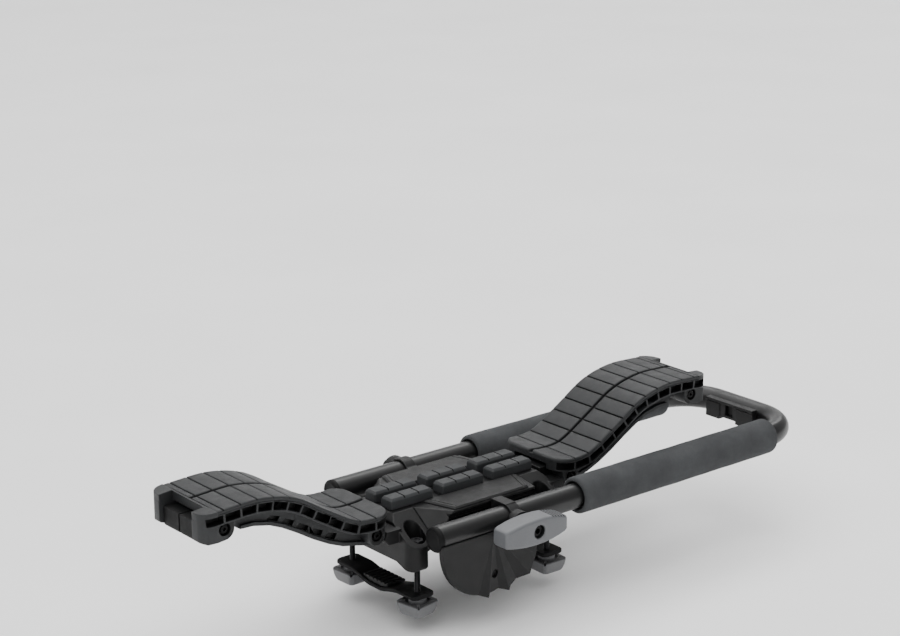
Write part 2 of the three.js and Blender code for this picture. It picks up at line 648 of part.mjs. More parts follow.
function wingTread() {
  const [from, to] = [0.004, crownAt(TREAD_END - 1)];
  const sheet = prism(band(from, to, 0, TREAD_T), "y", -WING_W + 0.5, WING_W - 0.5);
  const middle = prism(band(from - 0.004, to + 0.01, -2, TREAD_T - 1.4), "y", -1.2, 1.2);
  const half = 0.0022;
  const grooves = blockEnds().map((u) => prism(
    [under(u - half, -2), under(u + half, -2), under(u + half, 1.3), under(u - half, 1.3)],
    "y", -WING_W, WING_W,
  ));
  return cut(sheet, middle, ...grooves).intersect(wingPlan());
}

// One of the two blocks that hang on the end pin.
function endBlock(y0, y1) {
  const outline = [
    ...arc(WING_END_PIN, 9, 180, 230, 3), [293, 73.5], [307, 72.5], [312, 73], [313.5, 75], [313.5, 92],
    [WING_END_PIN[0] - 9, 92],
  ];
  const body = prism(outline, "y", y0, y1);
  return cut(body, rod("y", PIN_R + GAP, WING_END_PIN, y0 - 1, y1 + 1, 20));
}

function addWings() {
  const frame = wingFrame();
  const tread = wingTread();
  const endPin = rod("y", PIN_R, WING_END_PIN, -WING_W + PIN_INSET, WING_W - PIN_INSET, 20);
  const frontBlock = endBlock(-NOTCH_Y + 0.8, -0.8);
  const rearBlock = endBlock(0.8, NOTCH_Y - 0.8);
  for (const [name, side] of [["left", -1], ["right", 1]]) {
    addMesh(`${name}_wing_frame`, reflected(frame, side, 1), "frame");
    addMesh(`${name}_wing_tread`, reflected(tread, side, 1), "rubber");
    addMesh(`${name}_wing_end_pin`, reflected(endPin, side, 1), "steel");
    addMesh(`${name}_wing_front_block`, reflected(frontBlock, side, 1), "black");
    addMesh(`${name}_wing_rear_block`, reflected(rearBlock, side, 1), "black");
  }
}

// ---------- crossbar clamps ----------
function clampStrap() {
  const drops = [[STRAP_HALF, 0], [36, 0], [22, -3], [10, -STRAP_SAG], [0, -STRAP_SAG]];
  const top = drops.map(([y, z]) => [y, STRAP_TOP_Z + z]);
  const low = top.map(([y, z]) => [y, z - STRAP_T]).reverse();
  const outline = [...top, ...top.slice(0, -1).map(([y, z]) => [-y, z]).reverse()];
  const bottom = low.slice(1).reverse().map(([y, z]) => [-y, z]);
  const full = [...outline, ...bottom, ...low];
  const plan = roundedRing(13.5, STRAP_HALF, 5, 2);
  const body = prism(full, "x", -14, 14).intersect(prism(plan, "z", -60, 0));
  const holes = [-STUD_Y, STUD_Y].map((y) => rod("z", STUD_R + RUN, [0, y], -60, 0, 20));
  return cut(body, ...holes);
}

// Ribbed rubber block that fills the dip in a strap.
function strapLiner() {
  const [low, shoulder, top] = [STRAP_TOP_Z - STRAP_SAG + GAP, STRAP_TOP_Z - 3.4 + GAP, STRAP_TOP_Z - 1];
  const outline = [[9.5, low], [19, shoulder], [19, top], [-19, top], [-19, shoulder], [-9.5, low]];
  const grooves = [-15, -9, -3, 3, 9, 15].map((y) => box([-12, 12], [y - 0.8, y + 0.8], [top - 1.2, 0]));
  return cut(prism(outline, "x", -11, 11), ...grooves);
}

// A square knob with rounded corners and a round hub on top, turned by an angle in radians.
function clampKnob(turn) {
  const [low, high] = KNOB_Z;
  const ring = (inset, z) => roundedRing(KNOB_HALF - inset, KNOB_HALF - inset, 4.5).map(([x, y]) => [
    x * Math.cos(turn) - y * Math.sin(turn), x * Math.sin(turn) + y * Math.cos(turn), z]);
  const body = loft([ring(4.5, low), ring(1.6, low + 2.5), ring(0, high - 3), ring(0.6, high)]);
  const hub = rod("z", 8.3, [0, 0], high - 1, high + 2.6);
  return cut(join(body, hub), rod("z", STUD_R + RUN, [0, 0], low - 1, high + 5));
}

function addClamps() {
  const strap = clampStrap();
  const liner = strapLiner();
  const washer = cut(
    rod("z", 9, [0, 0], KNOB_Z[1] + 2.6 + GAP, STRAP_TOP_Z - STRAP_T - GAP),
    rod("z", STUD_R + RUN, [0, 0], -60, 0, 20),
  );
  for (const [name, side] of [["left", -1], ["right", 1]]) {
    addMesh(`${name}_clamp_strap`, strap.translate([side * STUD_X, 0, 0]), "strap");
    addMesh(`${name}_strap_liner`, liner.translate([side * STUD_X, 0, 0]), "rubber");
    for (const [end, y] of [["front", -STUD_Y], ["rear", STUD_Y]]) {
      const knob = clampKnob(KNOB_TURNS[`${name}_${end}`]);
      addMesh(`${name}_${end}_clamp_washer`, washer.translate([side * STUD_X, y, 0]), "knob");
      addMesh(`${name}_${end}_clamp_knob`, knob.translate([side * STUD_X, y, 0]), "knob");
    }
  }
}

addBase();
addEnds();
addPads();
addArm();
addPivot();
addWings();
addClamps();

export default part;
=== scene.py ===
"""Looks for the kayak and paddleboard roof bar carrier.

Shapes are worked out in millimetres and stored in metres.
"""

import json
import math

import bmesh
import bpy
import numpy as np
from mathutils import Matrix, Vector


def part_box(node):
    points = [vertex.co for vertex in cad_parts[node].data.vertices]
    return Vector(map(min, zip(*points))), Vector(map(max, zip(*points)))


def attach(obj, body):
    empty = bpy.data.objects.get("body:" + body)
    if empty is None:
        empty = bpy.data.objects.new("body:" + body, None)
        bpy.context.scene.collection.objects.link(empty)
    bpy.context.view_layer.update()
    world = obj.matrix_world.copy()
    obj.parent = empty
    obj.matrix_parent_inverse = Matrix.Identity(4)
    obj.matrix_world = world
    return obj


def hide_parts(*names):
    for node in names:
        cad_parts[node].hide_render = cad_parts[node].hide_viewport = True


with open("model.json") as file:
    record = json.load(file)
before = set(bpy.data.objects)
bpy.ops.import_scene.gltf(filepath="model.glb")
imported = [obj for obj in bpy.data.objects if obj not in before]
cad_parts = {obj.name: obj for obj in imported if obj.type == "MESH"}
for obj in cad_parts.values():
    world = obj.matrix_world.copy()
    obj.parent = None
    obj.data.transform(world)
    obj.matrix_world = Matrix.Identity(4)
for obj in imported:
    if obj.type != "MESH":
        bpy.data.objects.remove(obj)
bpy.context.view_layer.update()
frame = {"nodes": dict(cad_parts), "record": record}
MM = 0.001
BODY_OF = {n: b for b, nodes in frame["record"]["behaviour"]["bodies"].items() for n in nodes}
SIDES = (("left", -1), ("right", 1))
ENDS = (("front", -1), ("rear", 1))


def span(node):
    """Lowest and highest corner of a CAD node, in millimetres."""
    low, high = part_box(node)
    return low / MM, high / MM


# ---------- materials ----------
def node_tree(name):
    material = bpy.data.materials.new(name)
    material.use_nodes = True
    return material, material.node_tree, material.node_tree.nodes["Principled BSDF"]


def noise(tree, coords, scale, detail=2.0, roughness=0.5):
    n = tree.nodes.new("ShaderNodeTexNoise")
    n.inputs["Scale"].default_value = scale
    n.inputs["Detail"].default_value = detail
    n.inputs["Roughness"].default_value = roughness
    tree.links.new(coords, n.inputs["Vector"])
    return n.outputs["Fac"]


def ramp(tree, value, *stops):
    n = tree.nodes.new("ShaderNodeValToRGB")
    elements = n.color_ramp.elements
    while len(elements) < len(stops):
        elements.new(0.5)
    for element, (place, colour) in zip(elements, stops):
        element.position = place
        element.color = (*colour, 1) if isinstance(colour, tuple) else (colour, colour, colour, 1)
    tree.links.new(value, n.inputs["Fac"])
    return n.outputs["Color"]


def mix(tree, share, first, second, blend="MIX"):
    n = tree.nodes.new("ShaderNodeMix")
    n.data_type = "RGBA"
    n.blend_type = blend
    for socket, value in ((n.inputs["Factor"], share), (n.inputs["A"], first), (n.inputs["B"], second)):
        if isinstance(value, bpy.types.NodeSocket):
            tree.links.new(value, socket)
        else:
            socket.default_value = value if isinstance(value, float) else (*value, 1)
    return n.outputs["Result"]


def maths(tree, operation, a, b):
    n = tree.nodes.new("ShaderNodeMath")
    n.operation = operation
    for socket, value in zip(n.inputs, (a, b)):
        if isinstance(value, bpy.types.NodeSocket):
            tree.links.new(value, socket)
        else:
            socket.default_value = value
    return n.outputs["Value"]


def bump(tree, height, strength, distance, normal=None):
    n = tree.nodes.new("ShaderNodeBump")
    n.inputs["Strength"].default_value = strength
    n.inputs["Distance"].default_value = distance
    tree.links.new(height, n.inputs["Height"])
    if normal is not None:
        tree.links.new(normal, n.inputs["Normal"])
    return n.outputs["Normal"]


def moulded(name, colour, rough, grain=2600, grain_depth=0.35, worn_and_highlit=1.6, wear_and_highlight=0.5, mottle=0.12,
            coarse=0.0, gloss_spread=0.07, **sockets):
    """Moulded plastic, rubber or foam.

    It has a fine grain, soft mottling of colour and gloss, paler edges on the rounded edge strips, partly
    wear and partly a painted highlight, and painted shade on the faces marked for it (on the strap liners a
    darker tint all over).
    """
    material, tree, shader = node_tree(name)
    coords = tree.nodes.new("ShaderNodeTexCoord").outputs["Object"]
    patches = noise(tree, coords, 26, 4.0, 0.6)
    specks = noise(tree, coords, grain, 2.0)
    dark = tuple(c * (1 - mottle) for c in colour)
    pale = tuple(c * (1 + mottle) for c in colour)
    base = mix(tree, ramp(tree, patches, (0.32, 0.0), (0.68, 1.0)), dark, pale)
    base = mix(tree, ramp(tree, specks, (0.35, 0.86), (0.65, 1.0)), (0, 0, 0), base)
    # Paler colour on the rounded edge strips, broken up by noise: partly edge wear, partly a painted
    # highlight along the edges.
    edge = tree.nodes.new("ShaderNodeAttribute")
    edge.attribute_name = "wear_and_highlight"
    broken = ramp(tree, noise(tree, coords, 140, 5.0, 0.7), (0.42, 0.0), (0.62, wear_and_highlight))
    rubbed_and_lit = maths(tree, "MULTIPLY", edge.outputs["Fac"], broken)
    base = mix(tree, rubbed_and_lit, base, tuple(min(1.0, c * worn_and_highlit + 0.01) for c in colour))
    # Painted shade: colour darkened towards 0.12 of itself on the faces marked for it (on the strap liners a
    # darker tint all over).
    shade_and_tint = tree.nodes.new("ShaderNodeAttribute")
    shade_and_tint.attribute_name = "painted_shade_and_tint"
    base = mix(tree, shade_and_tint.outputs["Fac"], base, tuple(c * 0.12 for c in colour))
    tree.links.new(base, shader.inputs["Base Color"])
    gloss_noise = noise(tree, coords, 90, 5.0, 0.65)
    gloss = ramp(tree, gloss_noise, (0.3, rough - gloss_spread), (0.7, min(1.0, rough + gloss_spread)))
    tree.links.new(gloss, shader.inputs["Roughness"])
    normal = None
    if coarse:
        normal = bump(tree, noise(tree, coords, grain / 7, 3.0), coarse, 0.0004)
    tree.links.new(bump(tree, specks, grain_depth, 0.00012, normal), shader.inputs["Normal"])
    for socket, value in sockets.items():
        shader.inputs[socket.replace("_", " ").title().replace("Ior", "IOR")].default_value = value
    return material


MATERIALS = {
    "base_plastic": moulded(
        "black_glass_filled_nylon", (0.0068, 0.0069, 0.0071), 0.44,
        grain=1900, grain_depth=0.5, worn_and_highlit=2.5, specular_ior_level=0.22),
    "coated_tube": moulded(
        "satin_powder_coat", (0.007, 0.0071, 0.0073), 0.33,
        grain=1300, grain_depth=0.28, mottle=0.08, gloss_spread=0.025, specular_ior_level=0.38),
    "foam": moulded(
        "closed_cell_foam", (0.051, 0.053, 0.0555), 0.9,
        grain=1500, grain_depth=0.9, coarse=0.4, mottle=0.18, specular_ior_level=0.2),
    "wing_plastic": moulded(
        "slate_moulded_frame", (0.021, 0.0221, 0.0233), 0.52,
        grain=2200, grain_depth=0.45, specular_ior_level=0.3),
    "soft_rubber": moulded(
        "slate_grip_rubber", (0.0178, 0.0188, 0.0199), 0.55,
        grain=1700, grain_depth=0.7, coarse=0.15, specular_ior_level=0.34),
    "pad_rubber": moulded(
        "blue_grey_pad_rubber", (0.030, 0.0318, 0.0336), 0.62,
        grain=1700, grain_depth=0.7, coarse=0.15, specular_ior_level=0.3),
    "handle_plastic": moulded(
        "pale_grey_handle", (0.114, 0.118, 0.125), 0.42,
        grain=2400, grain_depth=0.3, worn_and_highlit=1.25, mottle=0.05, specular_ior_level=0.4),
    "knob_plastic": moulded(
        "mid_grey_knob", (0.135, 0.137, 0.142), 0.40,
        grain=2400, grain_depth=0.3, worn_and_highlit=1.3, mottle=0.06, specular_ior_level=0.4),
    "dark_steel": moulded(
        "black_oxide_steel", (0.03, 0.03, 0.032), 0.36,
        grain=1500, grain_depth=0.2, worn_and_highlit=3.0, metallic=0.85),
    "black_trim": moulded(
        "black_insert_plastic", (0.0055, 0.0056, 0.0058), 0.55,
        grain=2000, grain_depth=0.4, worn_and_highlit=2.5, specular_ior_level=0.12),
}


# ---------- mesh helpers ----------
def solid(points, faces):
    bm = bmesh.new()
    verts = [bm.verts.new(p) for p in points]
    for face in faces:
        bm.faces.new([verts[i] for i in face])
    bmesh.ops.recalc_face_normals(bm, faces=bm.faces)
    bm.verts.index_update()
    return bm


def loft(rings, closed=False):
    """Closed skin over matching rings of points.

    closed joins the last ring to the first, and otherwise both ends are capped.
    """
    n = len(rings[0])
    points = [p for ring in rings for p in ring]
    faces = []
    for k in range(len(rings) if closed else len(rings) - 1):
        a, b = k * n, (k + 1) % len(rings) * n
        faces += [(a + i, a + (i + 1) % n, b + (i + 1) % n, b + i) for i in range(n)]
    if not closed:
        faces += [tuple(range(n)), tuple(range(len(points) - n, len(points)))]
    return solid(points, faces)


AXES = {
    "x": ((0, 1, 0), (0, 0, 1), (1, 0, 0)),
    "y": ((1, 0, 0), (0, 0, 1), (0, 1, 0)),
    "z": ((1, 0, 0), (0, 1, 0), (0, 0, 1)),
}


def placed(axis, a, b, along):
    """A point from two coordinates across an axis, in X, Y, Z order, and one along it."""
    u, v, w = AXES[axis]
    return tuple(a * u[i] + b * v[i] + along * w[i] for i in range(3))


def prism(outline, axis, low, high):
    return loft([[placed(axis, a, b, along) for a, b in outline] for along in (low, high)])


def box(x, y, z):
    return prism([(x[0], y[0]), (x[1], y[0]), (x[1], y[1]), (x[0], y[1])], "z", *z)


def arc(centre, r, start, end, steps):
    return [(centre[0] + r * math.cos(math.radians(a)), centre[1] + r * math.sin(math.radians(a)))
            for a in np.linspace(start, end, steps + 1)]


def circle(axis, centre, r, along, sides):
    return [placed(axis, a, b, along) for a, b in arc(centre, r, 0, 360, sides)[:-1]]


def turned(axis, centre, profile, sides=48):
    """Solid of revolution about an axis. profile is (radius, place along the axis) pairs."""
    return loft([circle(axis, centre, r, along, sides) for r, along in profile])


def rod(axis, centre, r, low, high, bevel=0.0, sides=40):
    if not bevel:
        return turned(axis, centre, [(r, low), (r, high)], sides)
    ends = [(r - bevel, low), (r - bevel * 0.3, low + bevel * 0.3), (r, low + bevel)]
    return turned(axis, centre, ends + [(q, high + low - z) for q, z in reversed(ends)], sides)


def rounded_ring(hx, hy, r, steps=6):
    ring = []
    for corner, (sx, sy) in enumerate(((1, 1), (-1, 1), (-1, -1), (1, -1))):
        ring += arc((sx * (hx - r), sy * (hy - r)), r, corner * 90, corner * 90 + 90, steps)
    return ring


def from_node(node):
    """A CAD node's solid as a clean mesh of whole flat faces."""
    bm = bmesh.new()
    bm.from_mesh(frame["nodes"][node].data)
    bmesh.ops.scale(bm, vec=(1 / MM,) * 3, verts=bm.verts)
    bmesh.ops.remove_doubles(bm, verts=bm.verts, dist=0.02)
    flatten(bm)
    return bm


def flatten(bm, degrees=0.4):
    limit = math.radians(degrees)
    bmesh.ops.dissolve_limit(bm, angle_limit=limit, verts=bm.verts, edges=bm.edges)


def combined(bm, operation, *tools):
    """bm with the tools cut from it (DIFFERENCE), added (UNION) or kept in common (INTERSECT)."""
    objects = []
    for part in (bm, *tools):
        data = bpy.data.meshes.new("tool")
        part.to_mesh(data)
        part.free()
        thing = bpy.data.objects.new("tool", data)
        bpy.context.scene.collection.objects.link(thing)
        objects.append(thing)
    for tool in objects[1:]:
        modifier = objects[0].modifiers.new("cut", "BOOLEAN")
        modifier.operation = operation
        modifier.object = tool
        modifier.solver = "MANIFOLD"
    graph = bpy.context.evaluated_depsgraph_get()
    made = bmesh.new()
    made.from_mesh(objects[0].evaluated_get(graph).to_mesh())
    for thing in objects:
        data = thing.data
        bpy.data.objects.remove(thing)
        bpy.data.meshes.remove(data)
    flatten(made)
    return made


def cut(bm, *tools):
    return combined(bm, "DIFFERENCE", *tools)


def join(bm, *tools):
    return combined(bm, "UNION", *tools)


def sliced(bm, places):
    """bm with its long faces divided at the planes X = each place, so that no face folds round others."""
    for x in places:
        everything = list(bm.verts) + list(bm.edges) + list(bm.faces)
        bmesh.ops.bisect_plane(bm, geom=everything, dist=0.01, plane_co=(x, 0, 0), plane_no=(1, 0, 0))
    return bm


def paint_shade_and_tint(bm, test, amount=1.0):
    """Marks the faces whose centre and normal pass the test for painted shade, which darkens their colour; on
    the strap liners the mark gives a darker tint all over instead.
    """
    layer = bm.loops.layers.float.get("painted_shade_and_tint") or bm.loops.layers.float.new("painted_shade_and_tint")
    bm.normal_update()
    for face in bm.faces:
        if test(face.calc_center_median(), face.normal):
            for loop in face.loops:
                loop[layer] = amount
    return bm


def everywhere(place, normal):
    return True


def ease_edges(bm, width, over):
    """Rounds every edge that turns more than over degrees, and marks the rounded strips for a paler edge
    colour, partly wear and partly a painted highlight.
    """
    worn_and_highlit = bm.loops.layers.float.new("wear_and_highlight")
    limit = math.radians(over)
    sharp = [e for e in bm.edges if len(e.link_faces) == 2 and e.calc_face_angle() > limit]
    if width and sharp:
        made = bmesh.ops.bevel(bm, geom=sharp, offset=width, offset_type="OFFSET", segments=2,
                               profile=0.5, affect="EDGES", clamp_overlap=False)
        for face in made["faces"]:
            for loop in face.loops:
                loop[worn_and_highlit] = 1.0
    return bm


def piece(name, bm, node, slot, edge=0.0, over=32, smooth=40, weighted=True, material=None, within=False):
    """Makes the visible piece that stands for a CAD node. within keeps it inside the node's box."""
    ease_edges(bm, edge, over)
    if within:
        low, high = span(node)
        for v in bm.verts:
            v.co = [min(max(c, a), b) for c, a, b in zip(v.co, low, high)]
    for face in bm.faces:
        face.smooth = True
    for e in bm.edges:
        e.smooth = len(e.link_faces) == 2 and e.calc_face_angle() < math.radians(smooth)
    bmesh.ops.scale(bm, vec=(MM,) * 3, verts=bm.verts)
    data = bpy.data.meshes.new(name)
    bm.to_mesh(data)
    bm.free()
    data.materials.append(MATERIALS[material or slot])
    made = bpy.data.objects.new(name, data)
    bpy.context.scene.collection.objects.link(made)
    if weighted:
        modifier = made.modifiers.new("even_normals", "WEIGHTED_NORMAL")
        modifier.keep_sharp = True
        modifier.weight = 70
    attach(made, BODY_OF[node])
    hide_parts(node)
    return made


def mirrored(bm, side):
    """bm itself, or its reflection in X for the left side."""
    if side < 0:
        bmesh.ops.scale(bm, vec=(-1, 1, 1), verts=bm.verts)
        bmesh.ops.reverse_faces(bm, faces=bm.faces)
    return bm


# ---------- base ----------
DECK_Z = span("base_body")[1].z
FACET_RUN, FACET_WIDTH, FACET_RISE = 24, 32, 23.11


def add_base():
    body = from_node("base_body")
    slats = [box((x, x + 5), (-3.2, 3.2), (DECK_Z - 1.2, DECK_Z + 5)) for x in range(-50, 50, 9)]
    piece("base_body_moulding", cut(body, *slats), "base_body", "base_plastic", edge=0.8)
    low, high = span("crossbar_liner")
    liner = box((low.x, high.x), (low.y, high.y), (low.z, high.z))
    places = np.arange(low.x + 7, high.x - 5, 7)
    grooves = [box((x - 0.8, x + 0.8), (-60, 60), (-5, 0.9)) for x in places]
    liner = piece("crossbar_liner_rubber", cut(liner, *grooves), "crossbar_liner", "soft_rubber", edge=0.35)
    for name, side in ENDS:
        add_slot_rail(name, side)
        add_deck_cover(name, side)


def corner_facet(side):
    """What the sloping facet at the base's left corner takes off, on one side of the crossbar."""
    low, high = span("base_body")

    def ring(t):
        run = FACET_RUN * (t + 1 / FACET_WIDTH)
        width = FACET_WIDTH * (t + 1 / FACET_RUN)
        corner = [(low.x - 1, high.y + 1), (low.x + run, high.y + 1), (low.x - 1, high.y - width)]
        return [(x, side * y, DECK_Z + (t - 1) * FACET_RISE) for x, y in corner]

    return loft([ring(-0.02), ring(1.2)])


def add_slot_rail(name, side):
    """Frame of a slot, with slanting upper corners and two grooves along its upper lip."""
    low, high = span(f"{name}_slot_rail")
    depth = (low.y + 0.02, high.y - 0.02)
    top = high.z - 0.1
    left = prism([(low.x + 0.1, top), (low.x + 8, top), (low.x + 0.1, high.z - 6)], "y", *depth)
    right = prism([(high.x - 0.1, top), (high.x - 6, top), (high.x - 0.1, high.z - 4.5)], "y", *depth)
    grooves = [box((low.x - 1, high.x + 1), (y - 1.1, y + 1.1), (high.z - a, high.z - b))
               for y in (low.y, high.y) for a, b in ((1.6, 0.9), (3.4, 2.3))]
    rail = cut(join(from_node(f"{name}_slot_rail"), left, right), *grooves, corner_facet(side))
    piece(f"{name}_slot_rail_insert", rail, f"{name}_slot_rail", "black_trim", edge=0.2)


def add_deck_cover(name, side):
    """A flat panel over the slot with sloping borders and a groove along its left and right edges."""
    low, high = span(f"{name}_deck_cover")
    outline = [(-52, 22), (-41, 57), (53, 57), (65, 24), (63, 22)]
    mid_x, mid_y = np.mean(outline, axis=0)

    def inset(share_x, share_y, z):
        shrunk = [(mid_x + (x - mid_x) * share_x, mid_y + (y - mid_y) * share_y) for x, y in outline]
        return [(x, side * y, z) for x, y in shrunk]

    panel = loft([inset(1, 1, low.z), inset(1, 1, high.z - 1.7), inset(0.972, 0.9, high.z)])
    lines = []
    for x, run in ((-49.5, 15.7), (61.5, -18.2)):
        strip = [(x, 15), (x + 0.9, 15), (x + 0.9 + run, 65), (x + run, 65)]
        lines.append(prism([(a, side * b) for a, b in strip], "z", high.z - 0.7, high.z + 5))
    piece(f"{name}_deck_panel", cut(panel, *lines), f"{name}_deck_cover", "base_plastic", edge=0.35, over=20)


def add_ends():
    for name, side in SIDES:
        bracket = from_node(f"{name}_end_bracket")
        piece(f"{name}_bracket_moulding", bracket, f"{name}_end_bracket", "base_plastic", edge=0.9, over=28)
        add_pin(f"{name}_wing_hinge_pin", f"{name}_hinge_pin_turned")
        add_pin(f"{name}_wing_end_pin", f"{name}_end_pin_turned")
        for end, _ in ENDS:
            add_stud(f"{name}_{end}")


def add_pin(node, name):
    """Dark pin with a hex socket in each end, covered all over in painted shade for the dark holes it sits
    in.
    """
    low, high = span(node)
    centre = ((low.x + high.x) / 2, (low.z + high.z) / 2)
    pin = rod("y", centre, (high.x - low.x) / 2, low.y, high.y, 0.6)
    sockets = [turned("y", centre, [(1.9, y - 1.5), (1.9, y + 1.5)], 6) for y in (low.y, high.y)]
    piece(name, paint_shade_and_tint(cut(pin, *sockets), everywhere), node, "dark_steel")


def add_stud(name):
    """Hex-headed bolt with a rolled thread below its plain shank."""
    low, high = span(f"{name}_clamp_stud")
    centre = ((low.x + high.x) / 2, (low.y + high.y) / 2)
    r, pitch, depth, sides, stations = 3.0, 1.0, 0.42, 20, 4
    start, thread_top = low.z + 1.2, 2.0
    steps = int((thread_top - low.z - 1.5) / pitch) * stations
    rings = [circle("z", centre, r - 0.7, low.z, sides), circle("z", centre, r - 0.25, low.z + 0.6, sides)]
    for k in range(steps + 1):
        ring = []
        for i in range(sides):
            a = 2 * math.pi * i / sides
            phase = (k / stations - i / sides) % 1
            q = r - depth * abs(2 * phase - 1)
            z = start + k * pitch / stations
            ring.append((centre[0] + q * math.cos(a), centre[1] + q * math.sin(a), z))
        rings.append(ring)
    end = start + steps * pitch / stations
    for q, z in ((r - 0.3, end + 0.4), (r, end + 0.8), (r, high.z - 4.0)):
        rings.append(circle("z", centre, q, z, sides))
    shank = loft(rings)
    hexagon = turned("z", centre, [(6.5, high.z - 5.7), (6.5, high.z)], 6)
    rounding_off = [(6.9, high.z - 8), (6.9, high.z - 1.1), (5.7, high.z), (5.7, high.z + 3)]
    dome = turned("z", centre, rounding_off, 32)
    head = combined(hexagon, "INTERSECT", dome)
    dimple = turned("z", centre, [(2.6, high.z - 0.7), (3.0, high.z + 1)], 24)
    piece(f"{name}_clamp_bolt", join(shank, cut(head, dimple)), f"{name}_clamp_stud", "dark_steel", smooth=28)


# ---------- pads ----------
def add_pads():
    for row, _ in ENDS:
        for place in ("left", "middle", "right"):
            add_pad(f"{row}_{place}_pad")


def add_pad(node):
    """Three raised blocks with softened tops on one chamfered body."""
    low, high = span(node)
    x, y = (low.x + high.x) / 2, (low.y + high.y) / 2
    hx, hy = (high.x - low.x) / 2, (high.y - low.y) / 2

    def ring(inset, z, r):
        return [(x + a, y + b, z) for a, b in rounded_ring(hx - inset, hy - inset, r, 4)]

    body = loft([ring(0.4, low.z, 1.2), ring(0.0, low.z + 0.8, 1.5), ring(0.15, high.z - 3.0, 1.5),
                 ring(0.5, high.z - 2.3, 1.4), ring(1.9, high.z - 0.45, 1.1), ring(2.6, high.z, 0.9)])
    places = [x - hx / 3, x + hx / 3]
    half_groove = [(1.0, high.z + 1), (0.65, high.z - 0.4), (0.5, high.z - 2.4)]
    grooves = []
    for at in places:
        outline = [(at - a, z) for a, z in half_groove] + [(at + a, z) for a, z in reversed(half_groove)]
        grooves.append(prism(outline, "y", y - 20, y + 20))
    body = cut(body, *grooves)
    # Painted shade in the two grooves between the blocks.
    paint_shade_and_tint(body, lambda p, n: min(abs(p.x - at) for at in places) < 0.7 and p.z > high.z - 2.6)
    made = piece(f"{node}_rubber", body, node, "soft_rubber", edge=0.2, over=40, material="pad_rubber")


# ---------- folding arm ----------
TUBE_R, ARM_Y, LEG_Y, AXIS_Z = 12.7, 2.5, 80.4, 31.0
BEND_X, BEND_R, ARM_LEFT = 420.5, 48.0, -81.0
FOAM_R = 18.8


def arm_path():
    """Centre line points of the arm with their directions."""
    corner, side = BEND_X - BEND_R, LEG_Y - BEND_R
    line = [(ARM_LEFT, ARM_Y - LEG_Y)] + [(x, ARM_Y - LEG_Y) for x in np.linspace(-60, corner - 6, 20)]
    line += arc((corner, ARM_Y - side), BEND_R, -90, 0, 18)
    line += arc((corner, ARM_Y + side), BEND_R, 0, 90, 18)
    line += [(x, ARM_Y + LEG_Y) for x in np.linspace(corner - 6, -60, 20)] + [(ARM_LEFT, ARM_Y + LEG_Y)]
    line = np.array(line)
    away = np.gradient(line, axis=0)
    away[:21] = (1, 0)
    away[-21:] = (-1, 0)
    return line, away / np.linalg.norm(away, axis=1)[:, None]


def add_arm():
    line, away = arm_path()

    def ring(k, r, back=0.0):
        (x, y), (dx, dy) = line[k], away[k]
        x, y = x + dx * back, y + dy * back
        return [(x - dy * r * math.cos(a), y + dx * r * math.cos(a), AXIS_Z + r * math.sin(a))
                for a in np.linspace(0, 2 * math.pi, 49)[:-1]]

    last = len(line) - 1
    outer = [ring(0, TUBE_R - 0.5)] + [ring(0, TUBE_R, 0.5)] + [ring(k, TUBE_R) for k in range(1, last)]
    outer += [ring(last, TUBE_R, -0.5), ring(last, TUBE_R - 0.5)]
    inner = [ring(k, TUBE_R - 1.6) for k in range(last, -1, -1)]
    tube = loft(outer + inner, closed=True)
    pivot = ((span("pivot_cross_rod")[0].x + span("pivot_cross_rod")[1].x) / 2, 29.5)
    bore = rod("y", pivot, 5.3, -110, 120)
    piece("arm_tube_coated", cut(tube, bore), "arm_tube", "coated_tube", smooth=50)
    for name, side in ENDS:
        add_sleeve(name, side)
        plug = turned("x", (ARM_Y + side * LEG_Y, AXIS_Z), [
            (10.2, ARM_LEFT + 14), (10.2, ARM_LEFT - 0.3), (TUBE_R, ARM_LEFT - 0.3), (TUBE_R, ARM_LEFT - 2.2),
            (TUBE_R - 0.6, ARM_LEFT - 3.4), (TUBE_R - 1.8, ARM_LEFT - 4.2), (TUBE_R - 3.2, ARM_LEFT - 4.5),
            (TUBE_R - 3.8, ARM_LEFT - 4.0), (4, ARM_LEFT - 3.8)])
        piece(f"{name}_end_plug", plug, f"{name}_tube_plug", "black_trim", smooth=50)
        collar = from_node(f"{name}_pivot_collar")
        piece(f"{name}_collar_moulding", collar, f"{name}_pivot_collar", "base_plastic", edge=0.9, over=35)
        node = f"{name}_quadrant"
        piece(f"{name}_quadrant_moulding", from_node(node), node, "base_plastic", edge=0.45, over=6, smooth=5)
    piece("strap_catch_moulding", from_node("strap_catch"), "strap_catch", "base_plastic", edge=0.5)


